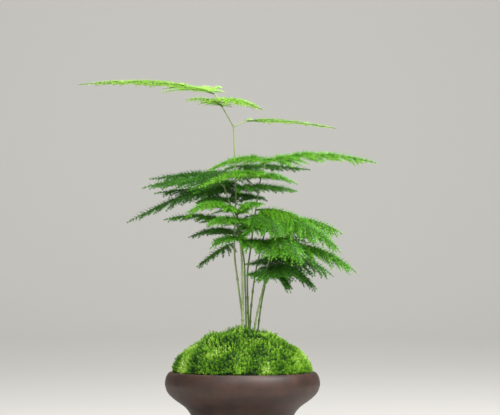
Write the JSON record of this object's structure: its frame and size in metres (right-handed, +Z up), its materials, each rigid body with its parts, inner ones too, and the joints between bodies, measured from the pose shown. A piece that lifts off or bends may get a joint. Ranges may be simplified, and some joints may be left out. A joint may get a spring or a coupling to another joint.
{
  "type": "potted lace fern",
  "caption": "Lace fern with layered, flat, needle-leaved fronds on wiry stems, growing from a dome of moss in a round unglazed clay pot.",
  "frame": {"origin": "centre of the flat underside of the pot's foot", "axes": "+Z up along the pot's axis and the plant's height; the best side faces -Y, with +X to the right as seen from there"},
  "size_m": [0.2487, 0.1332, 0.3019],
  "materials": {
    "clay": "unglazed, satin from handling",
    "soil": "matte crumb",
    "moss": "matte, soft",
    "stem": "smooth, waxy",
    "foliage": "satin"
  },
  "bodies": {
    "root": {"pot": "clay", "soil": "soil", "moss": "moss", "stem_tall": "stem", "stem_thick": "stem", "stem_left": "stem", "stem_upright": "stem", "stem_middle": "stem", "stem_right": "stem", "stem_outer": "stem", "frond_top_left": "foliage", "frond_top_near": "foliage", "frond_top_right": "foliage", "frond_crown_right": "foliage", "frond_crown_near": "foliage", "frond_crown_low": "foliage", "frond_fore_left": "foliage", "frond_fore_right": "foliage", "frond_mid_right": "foliage", "frond_crown_left": "foliage", "frond_crown_back": "foliage", "frond_rear_mid": "foliage", "frond_rear_left": "foliage", "frond_low_left": "foliage", "frond_back_low": "foliage", "frond_under_left": "foliage", "frond_mid_left": "foliage", "frond_mid_near": "foliage", "frond_front_left": "foliage", "frond_apron_left": "foliage", "frond_apron_right": "foliage", "frond_core_left": "foliage", "frond_core": "foliage", "frond_core_near": "foliage", "frond_heart": "foliage", "frond_core_back": "foliage", "frond_shoulder": "foliage", "frond_shoulder_far": "foliage", "frond_shoulder_low": "foliage", "frond_inner": "foliage", "frond_cascade": "foliage", "frond_rear_right": "foliage", "frond_under_near": "foliage", "frond_under_right": "foliage", "frond_under_far": "foliage", "frond_top_low": "foliage"}
  },
  "joints": []
}
